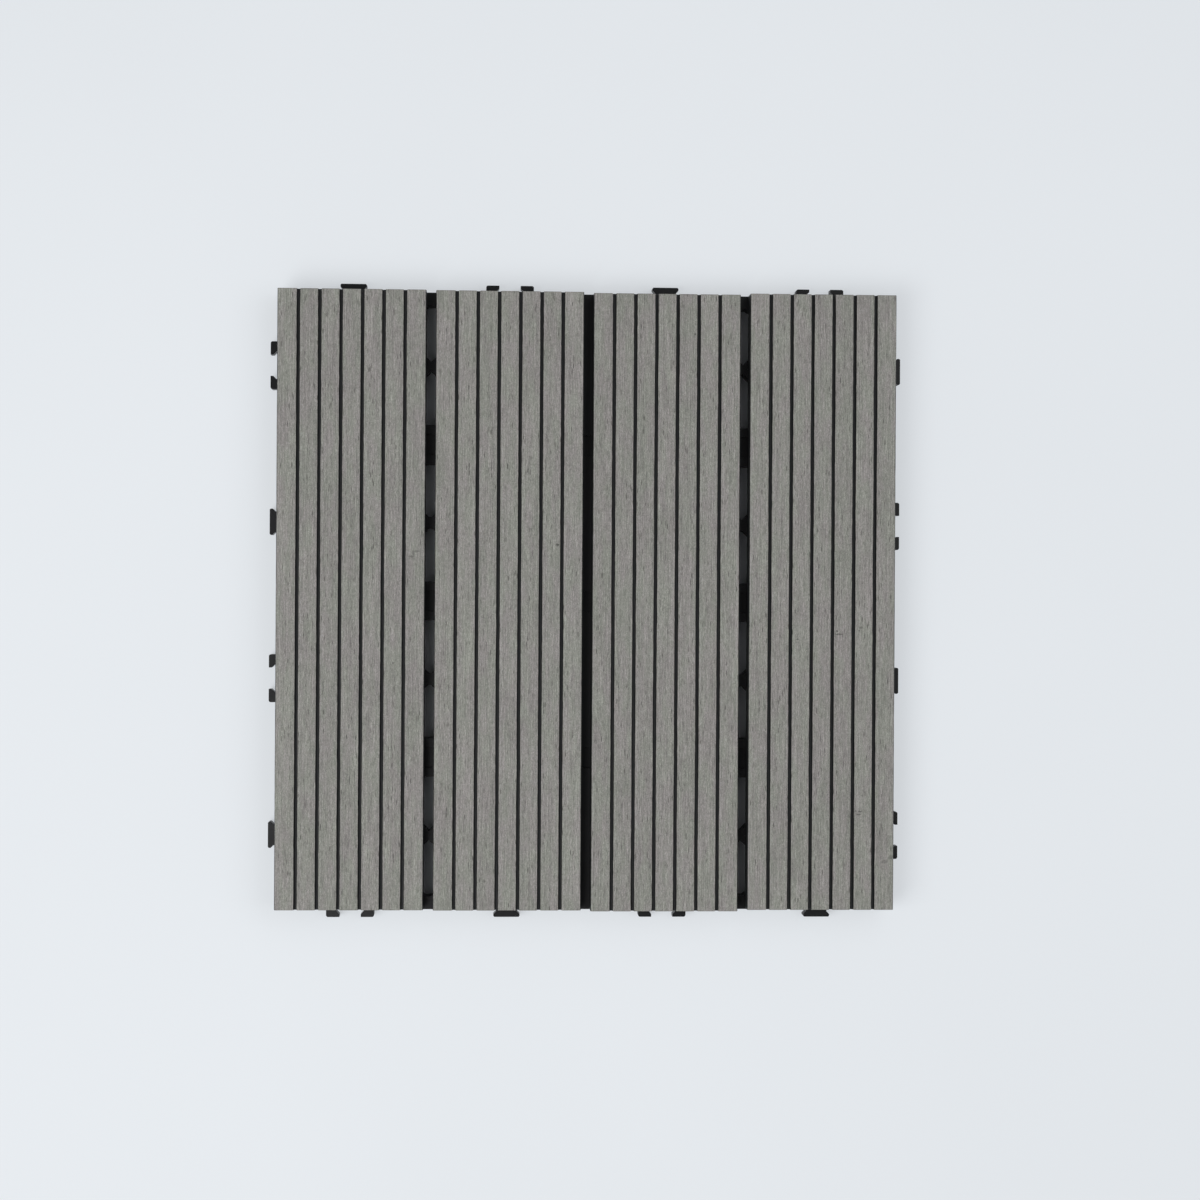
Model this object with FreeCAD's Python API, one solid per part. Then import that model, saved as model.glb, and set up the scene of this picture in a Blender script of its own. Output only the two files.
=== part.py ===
import FreeCAD, Part
import math
import os

# Interlocking deck tile: grooved slats screwed to one moulded base grid with tabs and hooks.
# All sizes are in millimetres. The origin is the middle of the tile on the ground, +Z is up,
# and the slats run along Y.

# Layout of the tile
CONNECTOR_PAIRS = 2
SLAT_COUNT = 2 * CONNECTOR_PAIRS
SLAT_WIDTH = 71.5
SLAT_GAP = 4.7
SLAT_END_GAP = 5.4
BASE_GAP = 4.5
SLAT_PITCH = SLAT_WIDTH + SLAT_GAP
MODULE = SLAT_COUNT * SLAT_PITCH

# Slats, sawn from one extruded profile
SLAT_LENGTH = MODULE - SLAT_END_GAP
SLAT_THICKNESS = 11.0
SLAT_SLIPS = (0.45, 0.3, -0.15, 0.5)
TOP_EDGE_RADIUS = 0.8
BOTTOM_EDGE_BEVEL = 0.4
GROOVE_COUNT = 6
GROOVE_PITCH = 10.26
GROOVE_MOUTH = 1.7
GROOVE_FLOOR = 1.0
GROOVE_DEPTH = 2.4
GROOVE_LIP_BEVEL = 0.2

# Base grid, one moulding
BASE_SIDE = MODULE - BASE_GAP
BASE_HALF = BASE_SIDE / 2
BASE_CORNER_RADIUS = 1.5
GRID_HEIGHT = 11.0
FOOT_HEIGHT = 1.5
SKIN = 2.2
WALL = 2.0
RIM_WIDTH = 7.4
RIM_NOTCH_MOUTH = 6.0
RIM_NOTCH_FLOOR = 3.0
RIM_NOTCH_DEPTH = 1.0
BEAM_WIDTH = 18.8
RIB_WIDTH = 3.0
PAD_SIDE = 5.6
DIMPLE_SIDE = 10.0
DIMPLE_DEPTH = 1.2

# Tabs and hooks on the four edges. A tab's head and a hook's lip both flare at 45 degrees.
REACH_CLEARANCE = 0.3
SEAT_CLEARANCE = 0.1
HEAD_SIDE_CLEARANCE = 0.32
NECK_SIDE_CLEARANCE = 0.15
TAB_HEAD_WIDTH = 12.8
TAB_NECK_WIDTH = 10.15
TAB_BEVEL = 0.5
HOOK_ARM_WIDTH = 4.93
HOOK_CORNER_RADIUS = 1.0
CONNECTOR_DROP = 3.0
CONNECTOR_REACH = BASE_GAP - REACH_CLEARANCE
HOOK_MOUTH = TAB_NECK_WIDTH + 2 * NECK_SIDE_CLEARANCE
HOOK_POCKET = TAB_HEAD_WIDTH + 2 * HEAD_SIDE_CLEARANCE
HEAD_CATCH = (TAB_HEAD_WIDTH - HOOK_MOUTH) / 2
LIP_THICKNESS = (CONNECTOR_REACH - REACH_CLEARANCE - HEAD_CATCH - SEAT_CLEARANCE) / 2

# Screws and the bosses that carry them
SCREW_DIAMETER = 3.5
SCREW_HEAD_DIAMETER = 7.0
SCREW_HEAD_HEIGHT = 2.4
PILOT_CLEARANCE = 0.05
SHANK_CLEARANCE = 0.25
HEAD_CLEARANCE = 0.8
TIP_CLEARANCE = 0.3
SCREW_COVER = 1.6
BOSS_WALL = 2.6
BOSS_SEAT = 3.0

# Places shared by the pieces
CELL_CENTRES = [(i - (SLAT_COUNT - 1) / 2) * SLAT_PITCH for i in range(SLAT_COUNT)]
HUB_LINES = [(i - SLAT_COUNT / 2) * SLAT_PITCH for i in range(1, SLAT_COUNT)]
OUTER_LINES = [line for line in HUB_LINES if abs(line) > SLAT_PITCH / 2]
SCREW_LINES = (CELL_CENTRES[0], CELL_CENTRES[-1])
SCREW_PLACES = [(x, y) for x in CELL_CENTRES for y in SCREW_LINES]
HUB_PLACES = [(x, y) for x in HUB_LINES for y in HUB_LINES]
SCREW_SEAT_Z = GRID_HEIGHT - BOSS_SEAT
PILOT_DEPTH = SLAT_THICKNESS - GROOVE_DEPTH - SCREW_COVER
CONNECTOR_TOP = GRID_HEIGHT - CONNECTOR_DROP
QUARTER_TURN = 90
UP = FreeCAD.Vector(0, 0, 1)
ORIGIN = FreeCAD.Vector(0, 0, 0)


def box(x_range, y_range, z_range):
    """Block between the given limits on each axis."""
    sizes = [high - low for low, high in (x_range, y_range, z_range)]
    return Part.makeBox(*sizes, FreeCAD.Vector(x_range[0], y_range[0], z_range[0]))


def rounded_corner(before, corner, after, radius):
    """Start, middle and end of the arc that rounds one corner of an outline."""
    back = (before - corner).normalize()
    ahead = (after - corner).normalize()
    half_angle = back.getAngle(ahead) / 2
    inward = (back + ahead).normalize()
    centre = corner + inward * (radius / math.sin(half_angle))
    setback = radius / math.tan(half_angle)
    return corner + back * setback, centre - inward * radius, corner + ahead * setback


def outline_face(corners, to_vector):
    """Flat face inside an outline of (u, v, radius) corners, placed by to_vector(u, v)."""
    points = [to_vector(u, v) for u, v, radius in corners]
    arcs = []
    for i, (u, v, radius) in enumerate(corners):
        if radius > 0:
            arcs.append(rounded_corner(points[i - 1], points[i], points[(i + 1) % len(points)], radius))
        else:
            arcs.append((points[i],))
    edges = []
    for i, arc in enumerate(arcs):
        if len(arc) > 1:
            edges.append(Part.Arc(*arc).toShape())
        next_start = arcs[(i + 1) % len(arcs)][0]
        edges.append(Part.LineSegment(arc[-1], next_start).toShape())
    return Part.Face(Part.Wire(edges))


def plan_prism(corners, z_range):
    """Upright prism on a plan outline of (x, y, radius) corners."""
    face = outline_face(corners, lambda x, y: FreeCAD.Vector(x, y, z_range[0]))
    return face.extrude(UP * (z_range[1] - z_range[0]))


def square_block(place, side, z_range):
    """Upright square block on an (x, y) place."""
    x, y = place
    return box((x - side / 2, x + side / 2), (y - side / 2, y + side / 2), z_range)


def cylinder(place, diameter, z_range):
    """Upright cylinder on an (x, y) place."""
    foot = FreeCAD.Vector(place[0], place[1], z_range[0])
    return Part.makeCylinder(diameter / 2, z_range[1] - z_range[0], foot)


def square_prism(half_side, radius, z_range):
    """Upright square prism round the middle of the tile, with rounded corners."""
    signs = ((-1, -1), (1, -1), (1, 1), (-1, 1))
    return plan_prism([(sx * half_side, sy * half_side, radius) for sx, sy in signs], z_range)


def turned(shape, degrees):
    """Copy of a shape, turned about the tile's middle."""
    copy = shape.copy()
    copy.rotate(ORIGIN, UP, degrees)
    return copy


def slat_section():
    """Section of a slat across X and Z: flat underside, rounded edges, bevelled grooves on top."""
    half = SLAT_WIDTH / 2
    top = SLAT_THICKNESS
    bevel = BOTTOM_EDGE_BEVEL
    corners = [(half, bevel, 0), (half - bevel, 0, 0), (bevel - half, 0, 0), (-half, bevel, 0)]
    corners.append((-half, top, TOP_EDGE_RADIUS))
    mouth = GROOVE_MOUTH / 2
    floor = GROOVE_FLOOR / 2
    lip = GROOVE_LIP_BEVEL
    half_groove = [(-mouth - lip, top), (-mouth, top - lip), (-floor, top - GROOVE_DEPTH)]
    groove = half_groove + [(-x, z) for x, z in reversed(half_groove)]
    for i in range(GROOVE_COUNT):
        middle = (i - (GROOVE_COUNT - 1) / 2) * GROOVE_PITCH
        corners += [(middle + x, z, 0) for x, z in groove]
    corners.append((half, top, TOP_EDGE_RADIUS))
    return outline_face(corners, lambda x, z: FreeCAD.Vector(x, 0, z))


def slat(index):
    """One slat on the grid, slipped a little along its length, with its blind pilot holes."""
    x = CELL_CENTRES[index]
    slip = SLAT_SLIPS[index % len(SLAT_SLIPS)]
    body = slat_section().extrude(FreeCAD.Vector(0, SLAT_LENGTH, 0))
    body.translate(FreeCAD.Vector(x, slip - SLAT_LENGTH / 2, GRID_HEIGHT))
    pilot_diameter = SCREW_DIAMETER + 2 * PILOT_CLEARANCE
    pilot_range = (GRID_HEIGHT, GRID_HEIGHT + PILOT_DEPTH)
    pilots = [cylinder((x, y), pilot_diameter, pilot_range) for y in SCREW_LINES]
    return body.cut(Part.makeCompound(pilots))


def screw(place):
    """Self-tapping screw, head down, seated in its boss and run up into the slat."""
    head_z = SCREW_SEAT_Z - SCREW_HEAD_HEIGHT
    tip_z = GRID_HEIGHT + PILOT_DEPTH - TIP_CLEARANCE
    head = cylinder(place, SCREW_HEAD_DIAMETER, (head_z, SCREW_SEAT_Z))
    return head.fuse(cylinder(place, SCREW_DIAMETER, (SCREW_SEAT_Z, tip_z)))


def rim():
    """Channel round the edge of the grid, open below."""
    full = (FOOT_HEIGHT, GRID_HEIGHT)
    hollow = (FOOT_HEIGHT, GRID_HEIGHT - SKIN)
    inner_half = BASE_HALF - RIM_WIDTH
    frame = square_prism(BASE_HALF, BASE_CORNER_RADIUS, full)
    frame = frame.cut(box((-inner_half, inner_half), (-inner_half, inner_half), full))
    groove_outer = BASE_HALF - WALL
    groove_inner = inner_half + WALL
    groove = box((-groove_outer, groove_outer), (-groove_outer, groove_outer), hollow)
    groove = groove.cut(box((-groove_inner, groove_inner), (-groove_inner, groove_inner), hollow))
    return frame.cut(groove)


def beam():
    """Wide channel along X through the middle of the grid, open below, with a web in each bay."""
    reach = BASE_HALF - WALL / 2
    inner = BEAM_WIDTH / 2 - WALL
    full = (FOOT_HEIGHT, GRID_HEIGHT)
    webs = [box((x - WALL / 2, x + WALL / 2), (-inner, inner), full) for x in CELL_CENTRES]
    channel = box((-reach, reach), (-BEAM_WIDTH / 2, BEAM_WIDTH / 2), full).cut(beam_hollow())
    return channel.multiFuse(webs)


def beam_hollow():
    """Space under the skin of the beam along X."""
    reach = BASE_HALF - WALL / 2
    inner = BEAM_WIDTH / 2 - WALL
    return box((-reach, reach), (-inner, inner), (FOOT_HEIGHT, GRID_HEIGHT - SKIN))


def hub(place):
    """Square cup, open below, where four cells of the grid meet. It stands on the ground as a foot."""
    cup = square_block(place, BEAM_WIDTH, (0, GRID_HEIGHT))
    return cup.cut(square_block(place, BEAM_WIDTH - 2 * WALL, (0, GRID_HEIGHT - SKIN)))


def diagonal_ribs():
    """Ribs at 45 degrees, half a slat pitch apart along X, ending at the rim, beams and hubs."""
    half_width = RIB_WIDTH / 2
    line_step = SLAT_PITCH / 2
    last_line = int(BASE_SIDE / line_step)
    reach = BASE_SIDE
    ribs = []
    for line in range(-last_line, last_line + 1):
        rib = box((-reach, reach), (-half_width, half_width), (FOOT_HEIGHT, GRID_HEIGHT))
        rib.rotate(ORIGIN, UP, QUARTER_TURN / 2)
        rib.translate(FreeCAD.Vector(line * line_step, 0, 0))
        ribs.append(rib)
    trim_side = BASE_SIDE - 2 * RIM_WIDTH + WALL
    trimmed = Part.makeCompound(ribs).common(square_block((0, 0), trim_side, (FOOT_HEIGHT, GRID_HEIGHT)))
    cups = [square_block(place, BEAM_WIDTH - 2 * WALL, (0, GRID_HEIGHT - SKIN)) for place in HUB_PLACES]
    return trimmed.cut([beam_hollow(), turned(beam_hollow(), QUARTER_TURN)] + cups)


def crossing_pads():
    """Square pads that thicken the rib crossings nearest the middle beams."""
    near_centres = [c for c in CELL_CENTRES if abs(c) < SLAT_PITCH]
    places = [(line, centre) for line in OUTER_LINES for centre in near_centres]
    places += [(centre, line) for line in OUTER_LINES for centre in near_centres]
    return [square_block(place, PAD_SIDE, (FOOT_HEIGHT, GRID_HEIGHT)) for place in places]


def rim_web(along):
    """Short web across the rim's channel on the +Y edge, behind one connector."""
    low_y = BASE_HALF - RIM_WIDTH + WALL / 2
    high_y = BASE_HALF - WALL / 2
    return box((along - WALL / 2, along + WALL / 2), (low_y, high_y), (FOOT_HEIGHT, GRID_HEIGHT))


def rim_notch(along):
    """Space of a shallow notch in the rim's inner edge on the +Y side, under a gap between slats."""
    mouth = RIM_NOTCH_MOUTH / 2
    floor = RIM_NOTCH_FLOOR / 2
    inner = BASE_HALF - RIM_WIDTH
    deep = inner + RIM_NOTCH_DEPTH
    clear = inner - WALL / 2
    plan = [(mouth, clear), (mouth, inner), (floor, deep), (-floor, deep), (-mouth, inner), (-mouth, clear)]
    return plan_prism([(along + x, y, 0) for x, y in plan], (FOOT_HEIGHT, GRID_HEIGHT))


def tab(along):
    """Tab on the +Y edge: a neck that flares into a wider head with bevelled corners."""
    neck = TAB_NECK_WIDTH / 2
    head = TAB_HEAD_WIDTH / 2
    root_y = BASE_HALF - WALL / 2
    end_y = BASE_HALF + CONNECTOR_REACH
    head_y = end_y - LIP_THICKNESS
    bevel = min(TAB_BEVEL, LIP_THICKNESS / 2)
    right_half = [
        (along + neck, root_y, 0),
        (along + neck, head_y - (head - neck), 0),
        (along + head, head_y, 0),
        (along + head, end_y - bevel, 0),
        (along + head - bevel, end_y, 0),
    ]
    left_half = [(2 * along - x, y, radius) for x, y, radius in reversed(right_half)]
    return plan_prism(right_half + left_half, (FOOT_HEIGHT, CONNECTOR_TOP))


def hook(along, side):
    """One hook of a pair on the +Y edge, its lip flaring in towards the middle of the pair."""
    pocket = HOOK_POCKET / 2
    mouth = HOOK_MOUTH / 2
    outer = pocket + HOOK_ARM_WIDTH
    root_y = BASE_HALF - WALL / 2
    end_y = BASE_HALF + CONNECTOR_REACH
    lip_y = end_y - LIP_THICKNESS
    corners = [
        (along + side * pocket, root_y, 0),
        (along + side * outer, root_y, 0),
        (along + side * outer, end_y, HOOK_CORNER_RADIUS),
        (along + side * mouth, end_y, 0),
        (along + side * mouth, lip_y, 0),
        (along + side * pocket, lip_y - (pocket - mouth), 0),
    ]
    return plan_prism(corners, (FOOT_HEIGHT, CONNECTOR_TOP))


def edge_connectors():
    """Tabs and hook pairs in turn along the +Y edge, with the webs behind them."""
    connectors = [rim_web(along) for along in CELL_CENTRES]
    for i, along in enumerate(CELL_CENTRES):
        if i % 2 == 0:
            connectors.append(tab(along))
        else:
            connectors += [hook(along, -1), hook(along, 1)]
    return connectors


def base_grid():
    """The whole moulding: rim, beams, hubs, ribs, bosses and connectors as one solid."""
    boss_bore = SCREW_HEAD_DIAMETER + 2 * HEAD_CLEARANCE
    boss_diameter = boss_bore + 2 * BOSS_WALL
    ribs = diagonal_ribs()
    solids = [beam(), turned(beam(), QUARTER_TURN)]
    solids += [hub(place) for place in HUB_PLACES]
    solids += ribs.Solids + turned(ribs, QUARTER_TURN).Solids
    solids += crossing_pads()
    solids += [cylinder(place, boss_diameter, (0, GRID_HEIGHT)) for place in SCREW_PLACES]
    for quarter in range(4):
        solids += [turned(connector, quarter * QUARTER_TURN) for connector in edge_connectors()]
    grid = rim().multiFuse(solids).removeSplitter()

    shank_hole = SCREW_DIAMETER + 2 * SHANK_CLEARANCE
    hollows = [cylinder(p, boss_bore, (0, SCREW_SEAT_Z)) for p in SCREW_PLACES]
    hollows += [cylinder(p, shank_hole, (SCREW_SEAT_Z, GRID_HEIGHT)) for p in SCREW_PLACES]
    dimple_range = (GRID_HEIGHT - DIMPLE_DEPTH, GRID_HEIGHT)
    hollows += [square_block(p, DIMPLE_SIDE, dimple_range) for p in HUB_PLACES]
    notches = [rim_notch(line) for line in OUTER_LINES]
    hollows += [turned(notch, quarter * QUARTER_TURN) for notch in notches for quarter in range(4)]
    return grid.cut(hollows)


def write_node(name, shape):
    """One STEP file for one node."""
    shape.exportStep(os.path.join("parts", name + ".step"))


def main():
    os.makedirs("parts", exist_ok=True)
    for i in range(SLAT_COUNT):
        write_node("slat_" + str(i + 1), slat(i))
    write_node("base_grid", base_grid())
    write_node("slat_screws", Part.makeCompound([screw(place) for place in SCREW_PLACES]))


main()
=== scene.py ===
import math

import bmesh
import bpy
import numpy as np
from mathutils import Matrix, Vector


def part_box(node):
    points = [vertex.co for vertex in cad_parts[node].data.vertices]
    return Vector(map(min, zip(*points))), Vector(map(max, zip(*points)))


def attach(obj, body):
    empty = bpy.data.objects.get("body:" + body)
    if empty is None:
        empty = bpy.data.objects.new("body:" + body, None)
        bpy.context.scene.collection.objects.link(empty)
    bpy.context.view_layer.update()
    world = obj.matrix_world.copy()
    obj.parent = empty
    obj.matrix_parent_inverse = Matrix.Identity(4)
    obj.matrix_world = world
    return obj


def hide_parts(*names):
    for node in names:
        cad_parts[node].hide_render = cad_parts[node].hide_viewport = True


# Looks of an interlocking deck tile: four brushed wood-plastic slats over a black moulded grid.
# Lengths are in millimetres, which MM turns into metres, and angles in degrees. The lamps' and the
# camera's places and the lamps' sizes are in metres. The slats run along Y.

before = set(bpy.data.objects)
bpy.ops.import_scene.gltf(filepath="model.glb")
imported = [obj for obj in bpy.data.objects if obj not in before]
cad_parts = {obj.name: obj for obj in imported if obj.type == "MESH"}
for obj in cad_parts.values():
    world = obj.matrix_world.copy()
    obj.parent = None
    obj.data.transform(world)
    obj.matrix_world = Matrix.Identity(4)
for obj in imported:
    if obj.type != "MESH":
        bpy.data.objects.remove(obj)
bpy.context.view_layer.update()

MM = 0.001
SEED = 24

# Slats: the sizes of their section, as the CAD profile has them
SLAT_COUNT = 4
SLAT_PITCH = 76.2
GROOVE_COUNT = 6
GROOVE_PITCH = 10.26
GROOVE_MOUTH = 1.7
GROOVE_FLOOR = 1.0
GROOVE_DEPTH = 2.4
GROOVE_FILLET = 0.12
LIP_RADIUS = 0.2
LIP_CENTRE = GROOVE_MOUTH / 2 + LIP_RADIUS
TOP_EDGE_RADIUS = 0.8
BOTTOM_EDGE_RADIUS = 0.4

# Slats: steps of the mesh round the section and along it, and the arris at the sawn ends
SMALL_ARC_STEPS = 3
TOP_EDGE_STEPS = 6
TOP_STEPS_ACROSS = 5
SLAT_STATIONS = 230
END_ARRIS = 0.14
SLAT_SMOOTH_ANGLE = 38

# Wear on the slats: the usual size of what is uneven, and the length of its bends. A lip has short
# and long bends, each with a share of its size, and stays within a multiple of that size.
LIP_WANDER = 0.045
LIP_BENDS = (0.9, 9.0)
LIP_BEND_SHARE = 0.6
LIP_LIMIT = 2.2
TOP_WANDER = 0.035
LIP_TOP_BEND = 1.2
RIB_TOP_BEND = 3.0
EDGE_BEND = 2.5

# Screws, and how far each is turned from the one before
SCREW_HEAD_HEIGHT = 2.4
SCREW_HEAD_RADIUS = 3.5
SCREW_OUTER_RADIUS = 1.75
SCREW_ROOT_RADIUS = 1.25
SCREW_SIDES = 28
SCREW_SMOOTH_ANGLE = 35
SCREW_TURN = 37

# Thread: rings of the mesh for each turn, half the ridge's width as a share of the pitch, and the
# length over which it starts. At the tip the shank's radius falls to a share of itself by a power.
THREAD_PITCH = 1.6
THREAD_RINGS = 9
THREAD_HALF_RIDGE = 0.24
THREAD_START = 1.2
TIP_LENGTH = 2.4
TIP_SHARE = 0.12
TIP_POWER = 0.7

# Screw head: shares of its radius for the middle, the flat and the seat, then its heights
HEAD_MIDDLE_SHARE = 0.04
HEAD_FLAT_SHARE = 0.3
HEAD_SEAT_SHARE = 0.965
HEAD_DOME_HEIGHT = 1.3
HEAD_CHAMFER = 0.12

# Cross recess in the head, straight at first and then tapered to a share of its size
RECESS_LENGTH = 3.9
RECESS_WIDTH = 1.0
RECESS_STRAIGHT = 0.1
RECESS_DEPTH = 1.3
RECESS_TAPER = 0.45

# Pilot holes, and how far any cutter stands out of the surface that it cuts
PILOT_RADIUS = 1.8
PILOT_DEPTH = 7.0
CUTTER_OVERLAP = 0.5

# Colours, as screen values from 0 to 255
BRUSHED_GREENISH = (139.6, 140.7, 133.2)
BRUSHED_REDDISH = (142.4, 138.7, 136.0)
FIBRE_DARK = (70, 68, 64)
SPECK_PALE = (178, 176, 168)
MARK_DARK = (44, 44, 42)
SKIN_DARK = (31, 33, 34)
SKIN_LIGHT = (43, 45, 46)
CORE_DARK = (56, 55, 53)
CORE_LIGHT = (98, 95, 90)
CORE_FLAKE = (124, 115, 100)
CORE_PORE = (34, 33, 32)
PLASTIC_DARK = (11, 12, 14)
PLASTIC_LIGHT = (17, 19, 21)
PLASTIC_WORN = (88, 90, 92)
STEEL_DARK = (176, 178, 180)
STEEL_LIGHT = (205, 206, 207)
BOARD_DARK = (231, 235, 239)
BOARD_LIGHT = (235, 239, 243)

# Ribs: where a painted highlight makes their edges lighter, as distances from a rib's middle, and
# how light it makes them. The numbers that tell ribs apart go up by a step from slat to slat.
RIB_HIGHLIGHT_START = 3.7
RIB_HIGHLIGHT_END = 4.3
RIB_EDGE_HIGHLIGHT = 1.05
RIB_NUMBER_STEP = 11.0

# Brushed top: depths under the top where the brushing starts to fade and where it has gone, and
# how much noise moves that border up and down
BRUSHED_FULL_DEPTH = 0.12
BRUSHED_NONE_DEPTH = 0.30
BRUSHED_RAGGED = 0.22

# Marks seen on the slats: place on the tile, half sizes across and along, darkness
MARK_RAGGED = 0.9
MARKS = (
    (-85.1, 21.5, 1.2, 0.45, 0.35),
    (-84.4, 23.1, 0.5, 0.9, 0.35),
    (-82.7, 23.9, 1.3, 0.45, 0.35),
    (-39.0, 65.2, 0.22, 1.4, 0.7),
    (-46.7, 65.2, 0.18, 2.1, 0.6),
    (-29.1, 63.4, 0.5, 1.3, 0.4),
    (-14.5, 27.5, 0.6, 0.45, 0.6),
    (-17.2, 25.6, 0.16, 1.6, 0.45),
    (133.4, -101.3, 0.9, 0.3, 0.55),
    (132.9, -102.8, 0.9, 0.3, 0.55),
    (131.4, -101.1, 0.5, 0.3, 0.4),
    (148.6, -123.6, 0.9, 0.9, 0.35),
    (145.6, -125.8, 1.2, 0.8, 0.3),
    (121.7, -13.5, 0.35, 0.5, 0.65),
    (122.6, -15.1, 1.6, 0.35, 0.5),
    (133.4, -11.8, 0.8, 0.5, 0.4),
    (132.6, -13.2, 0.4, 0.35, 0.4),
    (102.4, -17.6, 0.5, 0.35, 0.55),
    (113.9, -66.0, 0.2, 1.6, 0.5),
    (-115.7, -65.7, 0.2, 1.0, 0.75),
    (-111.3, -66.1, 0.22, 1.0, 0.65),
    (-114.6, -60.6, 0.2, 1.0, 0.55),
    (-114.2, -86.8, 0.2, 1.7, 0.6),
    (-111.8, -84.7, 0.18, 3.0, 0.5),
    (-115.1, -116.0, 1.8, 3.0, 0.16),
    (-93.5, -30.0, 0.6, 0.25, 0.5),
    (51.6, 130.2, 0.5, 0.4, 0.5),
)

# Floor: the share of its paleness that needs no light, how much of its colour is left where the
# tile covers it, which is painted shade under the tile, half the side of that square and the width
# of its border. Far off the floor fades into the background, between two distances.
FLOOR_REACH = 4000.0
FLOOR_GLOW = 0.58
FLOOR_UNDER_TILE_PAINTED_SHADE = 0.8
FOOTPRINT_HALF = 150.4
FOOTPRINT_BORDER = 2.0
FADE_START = 400.0
FADE_END = 2400.0

# Daylight from all round, and the background that the camera sees
DAYLIGHT_COLOUR = (0.97, 0.985, 1.0, 1.0)
DAYLIGHT_STRENGTH = 0.28
BACKGROUND_COLOUR = (0.90, 0.93, 0.97, 1.0)
BACKGROUND_STRENGTH = 0.9

# Lamps: place, size, power in watts and colour
LAMPS = {
    "key": ((-0.6, -0.33, 1.15), 0.75, 9.3, (1.0, 1.0, 1.0)),
    "fill": ((0.85, 0.12, 1.4), 1.0, 6.2, (0.97, 0.98, 1.0)),
    "back": ((0.42, 0.85, 1.4), 0.7, 2.0, (0.97, 0.98, 1.0)),
}

# Camera: its place, and the directions that are right and up in its picture
CAMERA_PLACE = (-0.0502, 0.00095, 1.1502)
CAMERA_RIGHT = (0.99874, 0.005888, 0.04986)
CAMERA_UP = (-0.00588, 0.99998, -0.00032)
CAMERA_LENS = 70.0
CAMERA_SENSOR = 36.0


class Shader:
    """Nodes of one material or world. Its calls add nodes and give back their outgoing sockets."""

    def __init__(self, block):
        block.use_nodes = True
        self.block = block
        self.tree = block.node_tree
        self.tree.nodes.clear()

    def node(self, kind, inputs=None, **settings):
        """A node of a kind, with its settings, and its inputs linked or set."""
        made = self.tree.nodes.new("ShaderNode" + kind)
        for name, value in settings.items():
            setattr(made, name, value)
        for key, value in (inputs or {}).items():
            if isinstance(value, bpy.types.NodeSocket):
                self.tree.links.new(value, made.inputs[key])
            else:
                made.inputs[key].default_value = value
        return made.outputs

    def math(self, operation, *values):
        """Arithmetic on numbers or sockets."""
        return self.node("Math", dict(enumerate(values)), operation=operation)["Value"]

    def product(self, first, *others):
        """All the values multiplied."""
        for value in others:
            first = self.math("MULTIPLY", first, value)
        return first

    def millimetres(self):
        """Place on the object, in millimetres."""
        place = self.node("TexCoord")["Object"]
        return self.node("VectorMath", {0: place, "Scale": 1 / MM}, operation="SCALE")["Vector"]

    def axis(self, vector, letter):
        """One number of a vector, by the letter of its axis."""
        return self.node("SeparateXYZ", {0: vector})[letter]

    def stretched(self, place, across, along, upright=None):
        """Place scaled unevenly, for grain that runs along Y."""
        scale = (across, along, across if upright is None else upright)
        return self.node("VectorMath", {0: place, 1: scale}, operation="MULTIPLY")["Vector"]

    def noise(self, place, across, along, upright=None, detail=1.0, roughness=0.6):
        """Smooth noise from 0 to 1, with so many features to a millimetre in each direction."""
        inputs = {
            "Vector": self.stretched(place, across, along, upright),
            "Scale": 1.0,
            "Detail": detail,
            "Roughness": roughness,
        }
        return self.node("TexNoise", inputs)["Fac"]

    def scatter(self, place, across, along, upright=None):
        """Distance from the nearest of scattered points, and that point's random numbers."""
        inputs = {
            "Vector": self.stretched(place, across, along, upright),
            "Scale": 1.0,
            "Randomness": 1.0,
        }
        points = self.node("TexVoronoi", inputs)
        return points["Distance"], self.node("SeparateColor", {0: points["Color"]})

    def ramp(self, value, low, high, bottom=0.0, top=1.0):
        """A value carried smoothly from bottom to top as it goes from low to high."""
        inputs = {"Value": value, "From Min": low, "From Max": high, "To Min": bottom, "To Max": top}
        return self.node("MapRange", inputs, interpolation_type="SMOOTHSTEP")["Result"]

    def swing(self, noise, amount, reach=0.25):
        """A brightness around 1, which noise within a reach of 0.5 swings by up to an amount."""
        return self.ramp(noise, 0.5 - reach, 0.5 + reach, 1 - amount, 1 + amount)

    def blend(self, amount, first, second):
        """Colour between first and second. A mix node's colours are inputs 6 and 7 and output 2."""
        return self.node("Mix", {0: amount, 6: first, 7: second}, data_type="RGBA")[2]

    def shade(self, colour, amount):
        """Colour made lighter or darker by an amount, where 1 leaves it."""
        return self.node("VectorMath", {0: colour, "Scale": amount}, operation="SCALE")["Vector"]

    def bump(self, height, distance, normal=None):
        """Surface normal for a height from 0 to 1 over a distance in millimetres."""
        inputs = {"Height": height, "Distance": distance * MM}
        if normal is not None:
            inputs["Normal"] = normal
        return self.node("Bump", inputs)["Normal"]

    def surface(self, inputs):
        """Ends the material in one principled surface."""
        shader = self.node("BsdfPrincipled", inputs)["BSDF"]
        self.node("OutputMaterial", {"Surface": shader})
        return self.block


def new_paint(name):
    """The nodes of a new material, still empty."""
    return Shader(bpy.data.materials.new(name))


def srgb(colour):
    """Linear colour from screen values of 0 to 255."""
    def linear(value):
        part = value / 255
        return part / 12.92 if part <= 0.04045 else ((part + 0.055) / 1.055) ** 2.4
    return (*[linear(value) for value in colour], 1.0)


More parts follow.
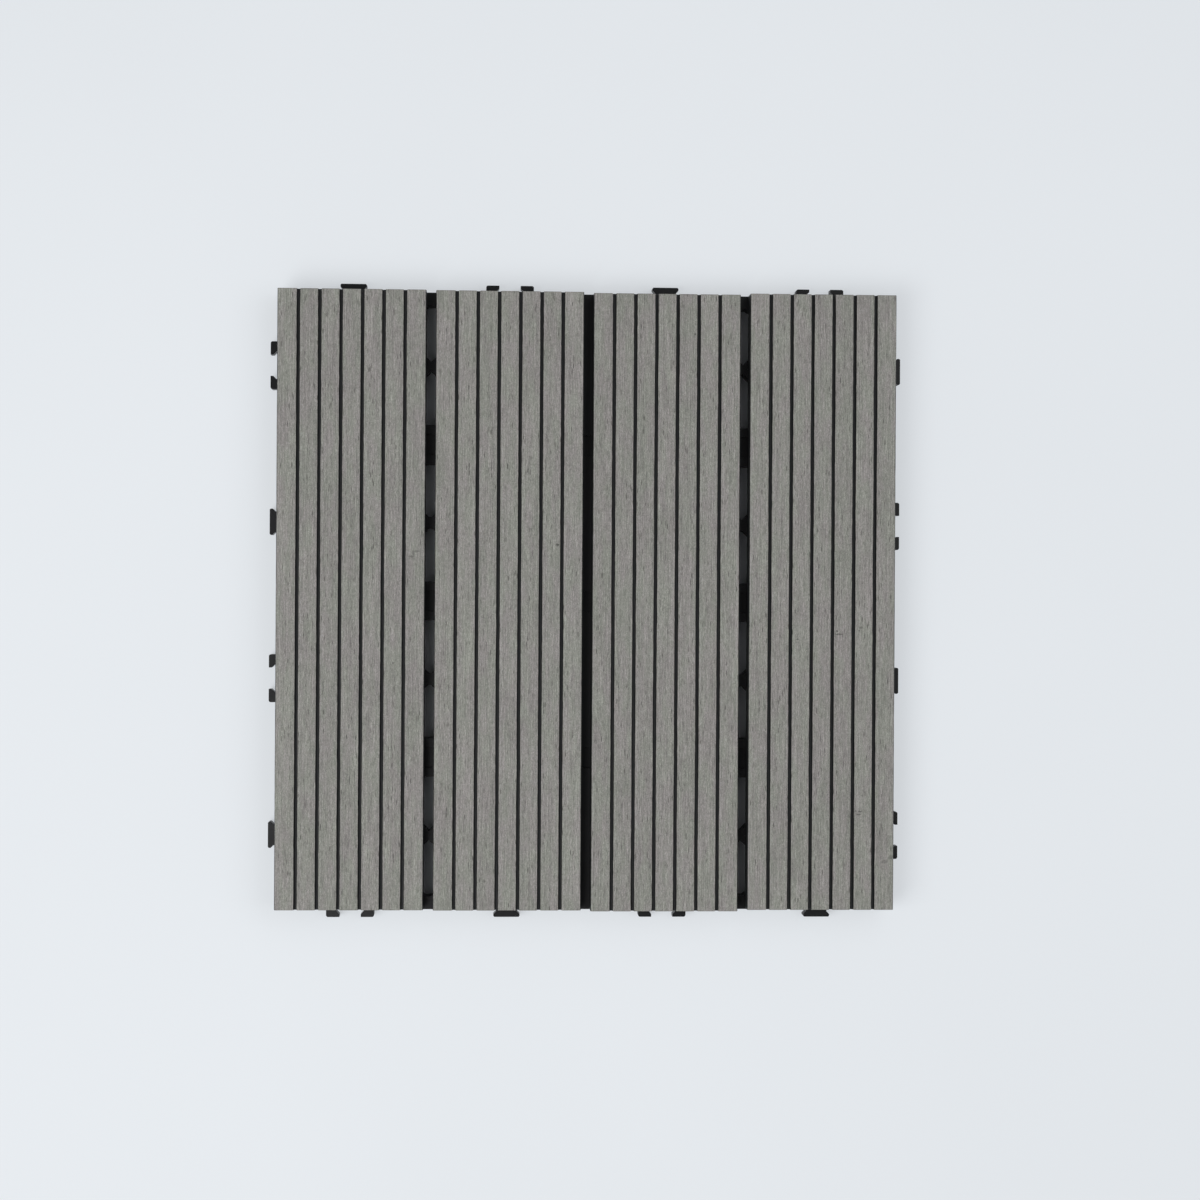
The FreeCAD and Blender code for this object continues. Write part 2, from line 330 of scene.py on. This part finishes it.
def dark_fibres(paint, place):
    """Where the brushed tops show sparse dark fibres, which gather in patches."""
    distance, random = paint.scatter(place, across=1.5, along=0.2)
    fibre = paint.product(
        paint.ramp(random["Red"], 0.74, 0.78),
        paint.ramp(distance, 0.18, 0.36, 1.0, 0.0),
    )
    patches = paint.noise(place, across=0.14, along=0.05, roughness=0.5)
    return paint.product(fibre, paint.ramp(patches, 0.38, 0.64, 0.45, 1.0))


def pale_specks(paint, place):
    """Where the brushed tops show a few pale specks."""
    distance, random = paint.scatter(place, across=1.1, along=0.7)
    return paint.product(
        paint.ramp(random["Green"], 0.86, 0.9),
        paint.ramp(distance, 0.12, 0.26, 1.0, 0.0),
    )


def larger_marks(paint, place, fine):
    """Where the marks of the list are, with edges that the fine noise makes ragged."""
    ragged = paint.math("MULTIPLY", fine, MARK_RAGGED)
    marked = 0.0
    for mark_x, mark_y, half_x, half_y, darkness in MARKS:
        offset = paint.node("VectorMath", {0: place, 1: (mark_x, mark_y, 0.0)}, operation="SUBTRACT")
        scaled = paint.stretched(offset["Vector"], 1 / half_x, 1 / half_y, 0.0)
        distance = paint.node("VectorMath", {0: scaled}, operation="LENGTH")["Value"]
        mark = paint.ramp(paint.math("ADD", distance, ragged), 1.2, 2.0, darkness, 0.0)
        marked = paint.math("MAXIMUM", marked, mark)
    return marked


def rib_tone_and_highlight(paint, place):
    """Each rib's own slight shade, and the painted highlight that makes its edges lighter."""
    x = paint.axis(place, "X")
    slat_x = paint.math("SUBTRACT", paint.math("WRAP", x, 0.0, SLAT_PITCH), SLAT_PITCH / 2)
    shifted_x = paint.math("ADD", slat_x, GROOVE_PITCH / 2)
    rib = paint.math("FLOOR", paint.math("DIVIDE", shifted_x, GROOVE_PITCH))
    slat_number = paint.math("FLOOR", paint.math("DIVIDE", x, SLAT_PITCH))
    rib_number = paint.math("ADD", rib, paint.math("MULTIPLY", slat_number, RIB_NUMBER_STEP))
    random = paint.node("TexWhiteNoise", {"W": rib_number}, noise_dimensions="1D")["Value"]
    rib_x = paint.math("WRAP", slat_x, -GROOVE_PITCH / 2, GROOVE_PITCH / 2)
    from_middle = paint.math("ABSOLUTE", rib_x)
    # Painted highlight: the rib's colour grows lighter towards its edges at the groove lips.
    edges = paint.ramp(from_middle, RIB_HIGHLIGHT_START, RIB_HIGHLIGHT_END, 1.0, RIB_EDGE_HIGHLIGHT)
    return paint.swing(random, 0.025, reach=0.5), edges


def brushed_top(paint, place, streaks, fine, fibres):
    """Colour of the slats' brushed tops: greige, streaked lengthwise, with fibres, specks and marks."""
    lines = paint.noise(place, across=5.2, along=0.035)
    short = paint.noise(place, across=4.8, along=0.85)
    cloud = paint.noise(place, across=0.16, along=0.035, detail=3.0)
    tint = paint.noise(place, across=0.2, along=0.06, detail=2.0, roughness=0.5)
    colour = paint.blend(paint.ramp(tint, 0.3, 0.7), srgb(BRUSHED_GREENISH), srgb(BRUSHED_REDDISH))
    brightness = paint.product(
        paint.swing(lines, 0.21),
        paint.swing(streaks, 0.2),
        paint.swing(short, 0.23),
        paint.swing(fine, 0.24, reach=0.3),
        paint.swing(cloud, 0.045),
        *rib_tone_and_highlight(paint, place),
    )
    colour = paint.shade(colour, brightness)
    colour = paint.blend(paint.math("MULTIPLY", fibres, 0.9), colour, srgb(FIBRE_DARK))
    specks = paint.math("MULTIPLY", pale_specks(paint, place), 0.35)
    colour = paint.blend(specks, colour, srgb(SPECK_PALE))
    return paint.blend(larger_marks(paint, place, fine), colour, srgb(MARK_DARK))


def drawn_skin(paint, place):
    """Colour of the unbrushed skin in the grooves and on the sides, drawn lengthwise by the die."""
    drawn = paint.noise(place, across=3.0, along=0.05, detail=2.0)
    return paint.blend(drawn, srgb(SKIN_DARK), srgb(SKIN_LIGHT))


def sawn_end(paint, place):
    """Colour and relief of the sawn ends, which show the core with pale flakes and pores."""
    grain = paint.noise(place, across=2.6, along=2.6, upright=1.6, detail=3.0, roughness=0.7)
    saw = paint.noise(place, across=0.25, along=0.25, upright=5.0, roughness=0.5)
    colour = paint.blend(grain, srgb(CORE_DARK), srgb(CORE_LIGHT))
    colour = paint.shade(colour, paint.swing(saw, 0.1, reach=0.2))
    distance, random = paint.scatter(place, across=0.75, along=0.75, upright=1.1)
    tone = random["Red"]
    flake = paint.product(paint.ramp(tone, 0.62, 0.7), paint.ramp(distance, 0.3, 0.5, 0.6, 0.0))
    colour = paint.blend(flake, colour, srgb(CORE_FLAKE))
    pore = paint.product(paint.ramp(tone, 0.3, 0.24), paint.ramp(distance, 0.2, 0.4, 0.6, 0.0))
    colour = paint.blend(pore, colour, srgb(CORE_PORE))
    return colour, paint.math("ADD", grain, saw)


def brushed_share(paint, place, fine):
    """1 on the slats' tops and 0 below them, with a ragged border."""
    slat_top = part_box("slat_1")[1].z / MM
    uneven = paint.math("MULTIPLY", paint.math("SUBTRACT", fine, 0.5), BRUSHED_RAGGED)
    ragged_z = paint.math("ADD", paint.axis(place, "Z"), uneven)
    return paint.ramp(ragged_z, slat_top - BRUSHED_NONE_DEPTH, slat_top - BRUSHED_FULL_DEPTH)


def sawn_share(paint):
    """1 on faces that look along Y and 0 on the others."""
    facing_y = paint.axis(paint.node("NewGeometry")["True Normal"], "Y")
    return paint.ramp(paint.math("ABSOLUTE", facing_y), 0.55, 0.8)


def composite():
    """Wood-plastic composite: brushed tops, dark skin in the grooves and on the sides, sawn ends."""
    paint = new_paint("composite")
    place = paint.millimetres()
    streaks = paint.noise(place, across=4.6, along=0.16)
    fine = paint.noise(place, across=6.0, along=1.8, roughness=0.5)
    fibres = dark_fibres(paint, place)
    on_top = brushed_share(paint, place, fine)
    on_end = sawn_share(paint)

    brushed = brushed_top(paint, place, streaks, fine, fibres)
    core, core_relief = sawn_end(paint, place)
    colour = paint.blend(on_end, paint.blend(on_top, drawn_skin(paint, place), brushed), core)

    skin_roughness = 0.5
    rougher = paint.math("SUBTRACT", paint.ramp(streaks, 0.3, 0.7, 0.78, 0.92), skin_roughness)
    roughness = paint.math("ADD", paint.math("MULTIPLY", on_top, rougher), skin_roughness)

    relief = paint.math("ADD", paint.math("MULTIPLY", streaks, 0.7), paint.math("MULTIPLY", fine, 0.3))
    relief = paint.math("SUBTRACT", relief, paint.math("MULTIPLY", fibres, 0.4))
    skin_relief = 0.15
    strength = paint.math("ADD", paint.math("MULTIPLY", on_top, 1 - skin_relief), skin_relief)
    relief = paint.blend(on_end, paint.math("MULTIPLY", relief, strength), core_relief)
    return paint.surface({
        "Base Color": colour,
        "Roughness": roughness,
        "Specular IOR Level": 0.3,
        "Normal": paint.bump(relief, 0.06),
    })


def moulded_plastic():
    """Black polypropylene with a fine eroded texture, slight flow marks and worn spots."""
    paint = new_paint("moulded_plastic")
    place = paint.millimetres()
    texture = paint.noise(place, across=3.2, along=3.2, detail=2.0)
    flow = paint.noise(place, across=0.05, along=0.05, detail=3.0)
    wear = paint.noise(place, across=0.7, along=0.7, detail=4.0, roughness=0.7)
    colour = paint.blend(flow, srgb(PLASTIC_DARK), srgb(PLASTIC_LIGHT))
    colour = paint.shade(colour, paint.swing(texture, 0.12))
    colour = paint.blend(paint.ramp(wear, 0.66, 0.78, 0.0, 0.16), colour, srgb(PLASTIC_WORN))
    rounded = paint.node("Bevel", {"Radius": 0.35 * MM}, samples=4)["Normal"]
    return paint.surface({
        "Base Color": colour,
        "Roughness": paint.ramp(flow, 0.3, 0.7, 0.34, 0.44),
        "Specular IOR Level": 0.22,
        "Normal": paint.bump(texture, 0.03, rounded),
    })


def screw_steel():
    """Stainless steel, slightly blotched."""
    paint = new_paint("screw_steel")
    place = paint.millimetres()
    blotch = paint.noise(place, across=0.6, along=0.6, detail=3.0)
    grain = paint.noise(place, across=6.0, along=6.0, roughness=0.5)
    return paint.surface({
        "Base Color": paint.blend(blotch, srgb(STEEL_DARK), srgb(STEEL_LIGHT)),
        "Metallic": 1.0,
        "Roughness": paint.ramp(blotch, 0.3, 0.7, 0.26, 0.42),
        "Normal": paint.bump(grain, 0.01),
    })


def pale_floor():
    """Smooth pale board that the tile lies on. What the camera sees of it is partly its own paleness."""
    paint = new_paint("pale_floor")
    place = paint.millimetres()
    cloud = paint.noise(place, across=0.004, along=0.004, detail=2.0, roughness=0.5)
    colour = paint.blend(cloud, srgb(BOARD_DARK), srgb(BOARD_LIGHT))
    board = paint.node("BsdfDiffuse", {"Color": colour})["BSDF"]

    x_distance = paint.math("ABSOLUTE", paint.axis(place, "X"))
    y_distance = paint.math("ABSOLUTE", paint.axis(place, "Y"))
    from_middle = paint.math("MAXIMUM", x_distance, y_distance)
    half_border = FOOTPRINT_BORDER / 2
    outside = paint.ramp(from_middle, FOOTPRINT_HALF - half_border, FOOTPRINT_HALF + half_border)
    far_off = paint.ramp(from_middle, FADE_START, FADE_END, FLOOR_GLOW, 1.0)
    # Where the tile covers the floor, the camera sees only a share of its colour and no glow: painted
    # shade under the tile.
    lit_share = paint.blend(outside, (FLOOR_UNDER_TILE_PAINTED_SHADE,) * 4, paint.math("SUBTRACT", 1.0, far_off))
    shaded = paint.node("BsdfDiffuse", {"Color": paint.shade(colour, lit_share)})["BSDF"]
    strength = paint.math("MULTIPLY", outside, far_off)
    glow = paint.node("Emission", {"Color": colour, "Strength": strength})["Emission"]
    seen = paint.node("AddShader", {0: shaded, 1: glow})["Shader"]

    path = paint.node("LightPath")
    looked_at = paint.math("MAXIMUM", path["Is Camera Ray"], path["Is Glossy Ray"])
    looked_at = paint.math("MAXIMUM", looked_at, path["Is Transmission Ray"])
    shader = paint.node("MixShader", {0: looked_at, 1: board, 2: seen})["Shader"]
    paint.node("OutputMaterial", {"Surface": shader})
    return paint.block


def new_object(name, points, faces, material, smooth_angle=None):
    """Mesh object from points in millimetres, in place in the frame."""
    mesh = bpy.data.meshes.new(name)
    mesh.from_pydata((np.asarray(points) * MM).tolist(), [], faces)
    mesh.validate()
    mesh.materials.append(material)
    made = bpy.data.objects.new(name, mesh)
    bpy.context.scene.collection.objects.link(made)
    if smooth_angle is not None:
        mesh.shade_smooth()
        mesh.set_sharp_from_angle(angle=math.radians(smooth_angle))
    return made


def tube_faces(rings, across, start=0, clockwise=False):
    """Faces of a closed tube of rings, with so many points across each, numbered from start.

    Seen from beyond the last ring, each ring's points run anticlockwise, or else clockwise.
    """
    faces = []
    for ring in range(rings - 1):
        this = start + ring * across
        following = this + across
        for i in range(across):
            j = (i + 1) % across
            if clockwise:
                faces.append((this + i, following + i, following + j, this + j))
            else:
                faces.append((this + i, this + j, following + j, following + i))
    first = [start + i for i in range(across)]
    last = [start + (rings - 1) * across + i for i in range(across)]
    if clockwise:
        last.reverse()
    else:
        first.reverse()
    return faces + [tuple(first), tuple(last)]


def cut_away(made, cutter):
    """Cuts one object out of another for good, and removes it."""
    cut = made.modifiers.new("cut", "BOOLEAN")
    cut.operation = "DIFFERENCE"
    cut.solver = "EXACT"
    cut.object = cutter
    evaluated = made.evaluated_get(bpy.context.evaluated_depsgraph_get())
    mesh = bpy.data.meshes.new_from_object(evaluated)
    made.modifiers.clear()
    made.data = mesh
    bpy.data.objects.remove(cutter)


def circle(x, y, z, radius):
    """Points of a level circle, anticlockwise seen from above."""
    angles = [math.tau * i / SCREW_SIDES for i in range(SCREW_SIDES)]
    return [(x + radius * math.cos(a), y + radius * math.sin(a), z) for a in angles]


def arc(x, z, radius, start, end, steps):
    """Points along an arc round a middle."""
    angles = [math.radians(start + (end - start) * i / steps) for i in range(steps + 1)]
    return [(x + radius * math.cos(a), z + radius * math.sin(a)) for a in angles]


def tagged(points, part, groove=None):
    """Points of a section, each with the name of its part and the number of its groove."""
    return [(x, z, part, groove) for x, z in points]


def rib_points(start, end, height):
    """Points on a rib's top between start and end, without either."""
    steps = TOP_STEPS_ACROSS
    return tagged([(start + (end - start) * i / steps, height) for i in range(1, steps)], "top")


def groove_points(groove, middle, height):
    """Points of one groove, from its right lip to its left one."""
    lip_z = height - LIP_RADIUS
    depth = height - GROOVE_DEPTH
    half_floor = GROOVE_FLOOR / 2
    fillet = GROOVE_FILLET
    floor = [
        (middle + half_floor + fillet / 2, depth + fillet),
        (middle + half_floor - fillet, depth),
        (middle - half_floor + fillet, depth),
        (middle - half_floor - fillet / 2, depth + fillet),
    ]
    right_lip = arc(middle + LIP_CENTRE, lip_z, LIP_RADIUS, 90, 180, SMALL_ARC_STEPS)
    left_lip = arc(middle - LIP_CENTRE, lip_z, LIP_RADIUS, 0, 90, SMALL_ARC_STEPS)
    points = tagged(right_lip, "right lip", groove)
    points += tagged(floor, "fixed")
    points += tagged(left_lip, "left lip", groove)
    return points


def slat_outline(half, height):
    """Section of a slat as (x, z, part, groove) points, anticlockwise from the lower left corner.

    The part says how a point may wander: the points of a lip go together, those of an edge and of
    a rib's top on their own, and fixed ones stay.
    """
    r = BOTTOM_EDGE_RADIUS
    points = tagged(arc(-half + r, r, r, 180, 270, SMALL_ARC_STEPS), "fixed")
    points += tagged(arc(half - r, r, r, 270, 360, SMALL_ARC_STEPS), "fixed")
    r = TOP_EDGE_RADIUS
    points += tagged(arc(half - r, height - r, r, 0, 90, TOP_EDGE_STEPS), "edge")
    last_x = half - r
    for groove in reversed(range(GROOVE_COUNT)):
        middle = (groove - (GROOVE_COUNT - 1) / 2) * GROOVE_PITCH
        points += rib_points(last_x, middle + LIP_CENTRE, height)
        points += groove_points(groove, middle, height)
        last_x = middle - LIP_CENTRE
    points += rib_points(last_x, -half + r, height)
    points += tagged(arc(-half + r, height - r, r, 90, 180, TOP_EDGE_STEPS), "edge")
    return points


def wander(random, count, step, length, size):
    """Smooth random line of count values a step apart, with bends of a length and a usual size."""
    reach = max(1, int(3 * length / step))
    weights = np.exp(-0.5 * (np.arange(-reach, reach + 1) * step / length) ** 2)
    raw = np.convolve(random.standard_normal(count + 2 * reach), weights, mode="valid")
    return size * raw / math.sqrt((weights ** 2).sum())


def worn_rings(outline, stations, middle_x, base_z, random):
    """The section at each station along a slat, a little uneven where the brush has worn it."""
    def uneven(length, size):
        return wander(random, len(stations), stations[1] - stations[0], length, size)

    lips = {}
    limit = LIP_LIMIT * LIP_WANDER
    for groove in range(GROOVE_COUNT):
        for side in ("left lip", "right lip"):
            line = sum(uneven(bend, LIP_WANDER * LIP_BEND_SHARE) for bend in LIP_BENDS)
            lips[side, groove] = np.clip(line, -limit, limit)
    rings = np.zeros((len(stations), len(outline), 3))
    for i, (x, z, part, groove) in enumerate(outline):
        rings[:, i, 0] = middle_x + x
        rings[:, i, 1] = stations
        rings[:, i, 2] = base_z + z
        if (part, groove) in lips:
            rings[:, i, 0] += lips[part, groove]
            rings[:, i, 2] -= np.abs(uneven(LIP_TOP_BEND, TOP_WANDER))
        if part == "top":
            rings[:, i, 2] -= np.abs(uneven(RIB_TOP_BEND, TOP_WANDER))
        if part == "edge":
            inward = -1 if x > 0 else 1
            rings[:, i, 0] += inward * np.abs(uneven(EDGE_BEND, TOP_WANDER))
    return rings


def unit(vectors):
    """The vectors with their length made 1."""
    return vectors / np.linalg.norm(vectors, axis=1)[:, None]


def end_ring(ring, outline, y):
    """The ring at a sawn end: the one next to it, drawn in all round by the arris."""
    flat = np.array([(x, z) for x, z, part, groove in outline])
    ahead = np.roll(flat, -1, axis=0) - flat
    behind = flat - np.roll(flat, 1, axis=0)
    tangent = unit(unit(ahead) + unit(behind))
    end = ring.copy()
    end[:, 0] -= tangent[:, 1] * END_ARRIS
    end[:, 2] += tangent[:, 0] * END_ARRIS
    end[:, 1] = y
    return end


def slat(number, material):
    """One slat, with its two pilot holes."""
    name = "slat_" + str(number)
    low, high = [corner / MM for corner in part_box(name)]
    middle_x = (low.x + high.x) / 2
    outline = slat_outline((high.x - low.x) / 2, high.z - low.z)
    stations = np.linspace(low.y + END_ARRIS, high.y - END_ARRIS, SLAT_STATIONS)
    rings = worn_rings(outline, stations, middle_x, low.z, np.random.default_rng(SEED + number))
    first = end_ring(rings[0], outline, low.y)
    last = end_ring(rings[-1], outline, high.y)
    rings = np.concatenate([first[None], rings, last[None]])
    faces = tube_faces(len(rings), len(outline), clockwise=True)
    made = new_object(name + "_brushed", rings.reshape(-1, 3), faces, material, SLAT_SMOOTH_ANGLE)
    drill_pilots(made, middle_x, low.z)
    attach(made, "root")
    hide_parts(name)


def drill_pilots(made, middle_x, underside):
    """Cuts the blind pilot holes into a slat's underside."""
    points = []
    faces = []
    for x, y in screw_places():
        if abs(x - middle_x) < SLAT_PITCH / 2:
            faces += tube_faces(2, SCREW_SIDES, start=len(points))
            points += circle(x, y, underside - CUTTER_OVERLAP, PILOT_RADIUS)
            points += circle(x, y, underside + PILOT_DEPTH, PILOT_RADIUS)
    cut_away(made, new_object("pilots", points, faces, made.data.materials[0]))


def build_slats():
    """All the slats."""
    material = composite()
    for number in range(1, SLAT_COUNT + 1):
        slat(number, material)


def screw_places():
    """Middles of the screws on the tile, worked out from the frame's screws."""
    low, high = [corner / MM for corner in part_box("slat_screws")]
    reach = (high.x - low.x) / 2 - SCREW_HEAD_RADIUS
    columns = [(i - (SLAT_COUNT - 1) / 2) * 2 * reach / (SLAT_COUNT - 1) for i in range(SLAT_COUNT)]
    return [(x, y) for x in columns for y in (-reach, reach)]


def head_outline():
    """Pan head as (radius, height) points, from the middle of its domed face to its seat."""
    angles = [math.radians(a) for a in range(0, 91, 15)]
    flat = HEAD_FLAT_SHARE
    dome = [(flat + (1 - flat) * math.sin(a), HEAD_DOME_HEIGHT * (1 - math.cos(a))) for a in angles]
    rim = [(1.0, SCREW_HEAD_HEIGHT - HEAD_CHAMFER), (HEAD_SEAT_SHARE, SCREW_HEAD_HEIGHT)]
    shares = [(HEAD_MIDDLE_SHARE, 0.0)] + dome + rim
    return [(SCREW_HEAD_RADIUS * share, height) for share, height in shares]


def thread_radius(height, length, turn):
    """Radius of the threaded shank at a height over the seat and a share of a turn round it."""
    phase = (height / THREAD_PITCH - turn) % 1.0
    ridge = max(0.0, 1 - abs(phase - 0.5) / THREAD_HALF_RIDGE)
    ridge *= min(1.0, height / THREAD_START)
    radius = SCREW_ROOT_RADIUS + (SCREW_OUTER_RADIUS - SCREW_ROOT_RADIUS) * ridge
    from_tip = min(1.0, (length - height) / TIP_LENGTH)
    return radius * (TIP_SHARE + (1 - TIP_SHARE) * from_tip ** TIP_POWER)


def thread_points(seat, length):
    """Rings of the threaded shank, from the seat to the tip."""
    points = []
    steps = int(length / THREAD_PITCH * THREAD_RINGS)
    for step in range(steps + 1):
        height = length * step / steps
        for i in range(SCREW_SIDES):
            radius = thread_radius(height, length, i / SCREW_SIDES)
            angle = math.tau * i / SCREW_SIDES
            points.append((radius * math.cos(angle), radius * math.sin(angle), seat + height))
    return points


def cut_recess(screw, face_z):
    """Cuts the cross recess into a screw's head, tapering upwards."""
    half_length = RECESS_LENGTH / 2
    half_width = RECESS_WIDTH / 2
    arm = [(half_length, -half_width), (half_length, half_width), (half_width, half_width)]
    plan = []
    for _ in range(4):
        plan += arm
        arm = [(-y, x) for x, y in arm]
    levels = (
        (1.0, face_z - CUTTER_OVERLAP),
        (1.0, face_z + RECESS_STRAIGHT),
        (RECESS_TAPER, face_z + RECESS_DEPTH),
    )
    points = [(x * scale, y * scale, z) for scale, z in levels for x, y in plan]
    faces = tube_faces(len(levels), len(plan))
    cut_away(screw, new_object("recess", points, faces, screw.data.materials[0]))


def build_screws():
    """Pan-head screws, head down, joined into one piece."""
    low, high = [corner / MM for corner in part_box("slat_screws")]
    seat = low.z + SCREW_HEAD_HEIGHT
    points = []
    for radius, height in head_outline():
        points += circle(0.0, 0.0, low.z + height, radius)
    points += thread_points(seat, high.z - seat)
    faces = tube_faces(len(points) // SCREW_SIDES, SCREW_SIDES)
    pattern = new_object("screw_pattern", points, faces, screw_steel(), SCREW_SMOOTH_ANGLE)
    cut_recess(pattern, low.z)

    joined = bmesh.new()
    for number, (x, y) in enumerate(screw_places()):
        copy = pattern.data.copy()
        turn = Matrix.Rotation(math.radians(SCREW_TURN * number), 4, "Z")
        copy.transform(Matrix.Translation((x * MM, y * MM, 0)) @ turn)
        joined.from_mesh(copy)
        bpy.data.meshes.remove(copy)
    mesh = pattern.data.copy()
    joined.to_mesh(mesh)
    joined.free()
    bpy.data.objects.remove(pattern)
    mesh.name = "slat_screws_detailed"
    made = bpy.data.objects.new("slat_screws_detailed", mesh)
    bpy.context.scene.collection.objects.link(made)
    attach(made, "root")
    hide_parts("slat_screws")


def dress_grid():
    """The moulded grid keeps its CAD shape and gets its plastic."""
    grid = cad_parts["base_grid"]
    grid.data.materials.clear()
    grid.data.materials.append(moulded_plastic())


def add_floor():
    """Pale board under the tile."""
    reach = FLOOR_REACH
    corners = [(-reach, -reach, 0.0), (reach, -reach, 0.0), (reach, reach, 0.0), (-reach, reach, 0.0)]
    new_object("floor", corners, [(0, 1, 2, 3)], pale_floor())


def add_world():
    """Even daylight from all round, and a pale background behind the floor."""
    world = Shader(bpy.data.worlds.new("studio"))
    daylight = world.node("Background", {"Color": DAYLIGHT_COLOUR, "Strength": DAYLIGHT_STRENGTH})
    background = world.node("Background", {"Color": BACKGROUND_COLOUR, "Strength": BACKGROUND_STRENGTH})
    path = world.node("LightPath")
    looked_at = world.math("MAXIMUM", path["Is Camera Ray"], path["Is Transmission Ray"])
    mix = world.node("MixShader", {0: looked_at, 1: daylight["Background"], 2: background["Background"]})
    world.node("OutputWorld", {"Surface": mix["Shader"]})
    bpy.context.scene.world = world.block


def add_lamp(name, place, size, power, colour):
    """Square soft lamp aimed at the middle of the tile."""
    data = bpy.data.lights.new(name, "AREA")
    data.shape = "SQUARE"
    data.size = size
    data.energy = power
    data.color = colour
    lamp = bpy.data.objects.new(name, data)
    lamp.location = place
    lamp.rotation_euler = (-Vector(place)).to_track_quat("-Z", "Y").to_euler()
    bpy.context.scene.collection.objects.link(lamp)


def add_camera():
    """Camera of the photograph: nearly straight above, a little to the left, with a long lens."""
    data = bpy.data.cameras.new("camera")
    data.lens = CAMERA_LENS
    data.sensor_width = CAMERA_SENSOR
    camera = bpy.data.objects.new("camera", data)
    right = Vector(CAMERA_RIGHT)
    up = Vector(CAMERA_UP)
    turn = Matrix((right, up, right.cross(up))).transposed().to_4x4()
    camera.matrix_world = Matrix.Translation(CAMERA_PLACE) @ turn
    bpy.context.scene.collection.objects.link(camera)
    bpy.context.scene.camera = camera


build_slats()
build_screws()
dress_grid()
add_floor()
add_world()
for lamp_name, lamp_settings in LAMPS.items():
    add_lamp(lamp_name, *lamp_settings)
add_camera()
bpy.context.scene.view_settings.view_transform = "Standard"
